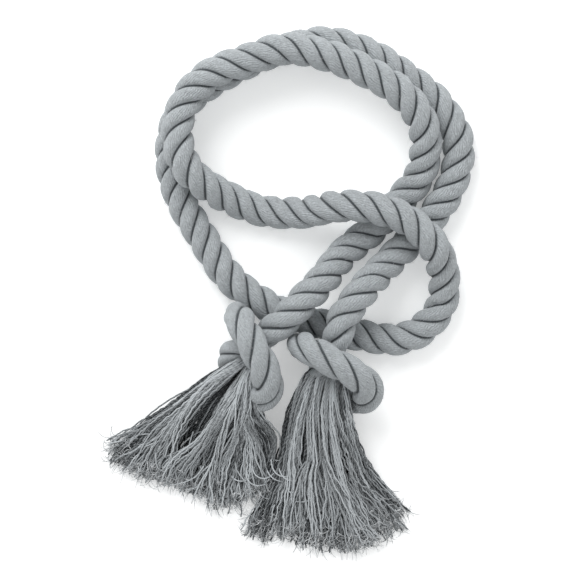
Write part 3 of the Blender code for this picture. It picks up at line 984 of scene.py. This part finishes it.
def rope_fibres(settings, rope_settings, steps=3):
    """Short fibres that stand off the rope's surface."""
    sections, _ = rope_sections(FIBRE_STEP)
    rng = random.Random(FIBRE_SEED)
    spines = []
    while len(spines) < settings.count:
        section = sections[rng.randrange(2, len(sections) - 2)]
        share = rng.random()
        radius = section.girth * ROPE_DIAMETER / 2 * strand_profile(share, rope_settings.groove)
        out = outwards(section, share)
        root = section.place + out * radius * 0.97
        if root.z < FIBRE_CLEARANCE:
            continue
        lean = section.toward * rng.gauss(0, 1.0) + out.cross(section.toward) * rng.gauss(0, 1.0)
        reach = settings.length * rng.uniform(0.4, 1.3)
        heading = (out * rng.uniform(0.25, 0.9) + lean).normalized()
        point = root
        spine = [point.copy()]
        for _ in range(steps):
            heading = (heading - out * 0.12 + Vector((
                rng.gauss(0, 0.25), rng.gauss(0, 0.25), rng.gauss(0, 0.25)))).normalized()
            point = point + heading * reach / steps
            spine.append(point.copy())
        if min(p.z for p in spine) > settings.thickness:
            spines.append(spine)
    return spines


def add_lamp(lamp):
    """A round soft light that points at the middle of the surface."""
    light = bpy.data.lights.new(lamp.name, "AREA")
    light.shape = "DISK"
    light.size = lamp.size
    light.energy = lamp.energy
    holder = bpy.data.objects.new(lamp.name, light)
    holder.location = lamp.place
    holder.rotation_euler = (-Vector(lamp.place)).to_track_quat("-Z", "Y").to_euler()
    bpy.context.scene.collection.objects.link(holder)


# ---- Operators ----

class TIEBACK_OT_stage(bpy.types.Operator):
    """Add the pale surface, soft light and a camera that looks straight down"""
    bl_idname = "tieback.stage"
    bl_label = "Stage"

    def execute(self, context):
        settings = context.scene.tieback_stage
        low, high = (Vector(corner) for corner in CAD_BOX)
        centre = (low + high) / 2
        lens = bpy.data.cameras.new("camera")
        lens.angle = 2 * math.atan(settings.frame_height / 2 / settings.camera_height)
        lens.clip_start = CLIP_START
        lens.clip_end = CLIP_END
        camera = bpy.data.objects.new("camera", lens)
        camera.location = (centre.x, centre.y, settings.camera_height)
        context.scene.collection.objects.link(camera)
        context.scene.camera = camera
        bm = bmesh.new()
        bmesh.ops.create_grid(bm, x_segments=1, y_segments=1, size=FLOOR_HALF_SIZE)
        mesh = bpy.data.meshes.new("floor")
        bm.to_mesh(mesh)
        bm.free()
        mesh.materials.append(matte_board(settings))
        floor = bpy.data.objects.new("floor", mesh)
        context.scene.collection.objects.link(floor)
        for lamp in LAMPS:
            add_lamp(lamp)
        world = bpy.data.worlds.new("studio")
        world.use_nodes = True
        background = world.node_tree.nodes["Background"]
        background.inputs["Color"].default_value = linear("FFFFFF")
        background.inputs["Strength"].default_value = WORLD_STRENGTH
        context.scene.world = world
        context.scene.view_settings.view_transform = "Standard"
        return {"FINISHED"}


class TIEBACK_OT_rope(bpy.types.Operator):
    """Add the laid rope with its loop and knots"""
    bl_idname = "tieback.rope"
    bl_label = "Rope"

    def execute(self, context):
        settings = context.scene.tieback_rope
        sections, length = rope_sections(settings.step)
        bm = rope_bmesh(sections, length, settings)
        rope = add_piece("laid_rope", bm, laid_cotton(settings), "rope_cotton", "rope")
        return {"FINISHED"}


class TIEBACK_OT_tassels(bpy.types.Operator):
    """Add the loose yarns of both tassels and their frayed tips"""
    bl_idname = "tieback.tassels"
    bl_label = "Tassels"

    def execute(self, context):
        settings = context.scene.tieback_tassels
        fibres = context.scene.tieback_fibres
        material = loose_yarn(settings)
        pale = loose_fibre(settings)
        for which in KNOTS:
            spines, shades = tassel_spines(which, settings)
            yarns = grow_yarns(spines, settings.yarn, tip_share=0.8, sides=4, shades=shades)
            add_piece(f"yarns_{which}", yarns, material, "tassel_cotton", f"tassel_{which}")
            rng = random.Random(STRAY_SEEDS[which])
            strays = stray_yarns(which, settings, rng)
            stray_shades = [rng.uniform(*STRAY_SHADES) for _ in strays]
            # those that are listed are the palest
            stray_shades[:len(CURLS[which])] = [1.0] * len(CURLS[which])
            loose = grow_yarns(strays, settings.yarn * 0.85, tip_share=0.6, sides=5,
                               shades=stray_shades)
            add_piece(f"stray_yarns_{which}", loose, material, "tassel_cotton")
            split = frayed_tips(spines, rng, fibres)
            tips = grow_yarns(split, fibres.split, tip_share=0.4, sides=3)
            add_piece(f"frayed_tips_{which}", tips, pale, "tassel_cotton")
        return {"FINISHED"}


class TIEBACK_OT_fibres(bpy.types.Operator):
    """Add the loose fibres that stand off the rope"""
    bl_idname = "tieback.fibres"
    bl_label = "Loose Fibres"

    def execute(self, context):
        settings = context.scene.tieback_fibres
        spines = rope_fibres(settings, context.scene.tieback_rope)
        bm = grow_yarns(spines, settings.thickness, tip_share=0.5, sides=3)
        add_piece("loose_fibres", bm, loose_fibre(context.scene.tieback_tassels), "rope_cotton")
        return {"FINISHED"}


class TIEBACK_PT_panel(bpy.types.Panel):
    """Lists the tieback's pieces and their settings"""
    bl_label = "Rope Tieback"
    bl_idname = "TIEBACK_PT_panel"
    bl_space_type = "VIEW_3D"
    bl_region_type = "UI"
    bl_category = "Tieback"

    def draw(self, context):
        for operator, settings in OPERATORS:
            box = self.layout.box()
            box.operator(operator.bl_idname)
            group = getattr(context.scene, settings)
            for name in group.__annotations__:
                box.prop(group, name)


OPERATORS = (
    (TIEBACK_OT_stage, "tieback_stage"),
    (TIEBACK_OT_rope, "tieback_rope"),
    (TIEBACK_OT_tassels, "tieback_tassels"),
    (TIEBACK_OT_fibres, "tieback_fibres"),
)
GROUPS = (
    ("tieback_stage", TiebackStageSettings),
    ("tieback_rope", TiebackRopeSettings),
    ("tieback_tassels", TiebackTasselSettings),
    ("tieback_fibres", TiebackFibreSettings),
)


def register():
    for name, group in GROUPS:
        bpy.utils.register_class(group)
        setattr(bpy.types.Scene, name, PointerProperty(type=group))
    for operator, _ in OPERATORS:
        bpy.utils.register_class(operator)
    bpy.utils.register_class(TIEBACK_PT_panel)


def unregister():
    bpy.utils.unregister_class(TIEBACK_PT_panel)
    for operator, _ in reversed(OPERATORS):
        bpy.utils.unregister_class(operator)
    for name, group in reversed(GROUPS):
        delattr(bpy.types.Scene, name)
        bpy.utils.unregister_class(group)


def main():
    register()
    bpy.ops.tieback.stage()
    bpy.ops.tieback.rope()
    bpy.ops.tieback.tassels()
    bpy.ops.tieback.fibres()


if __name__ == "__main__":
    main()
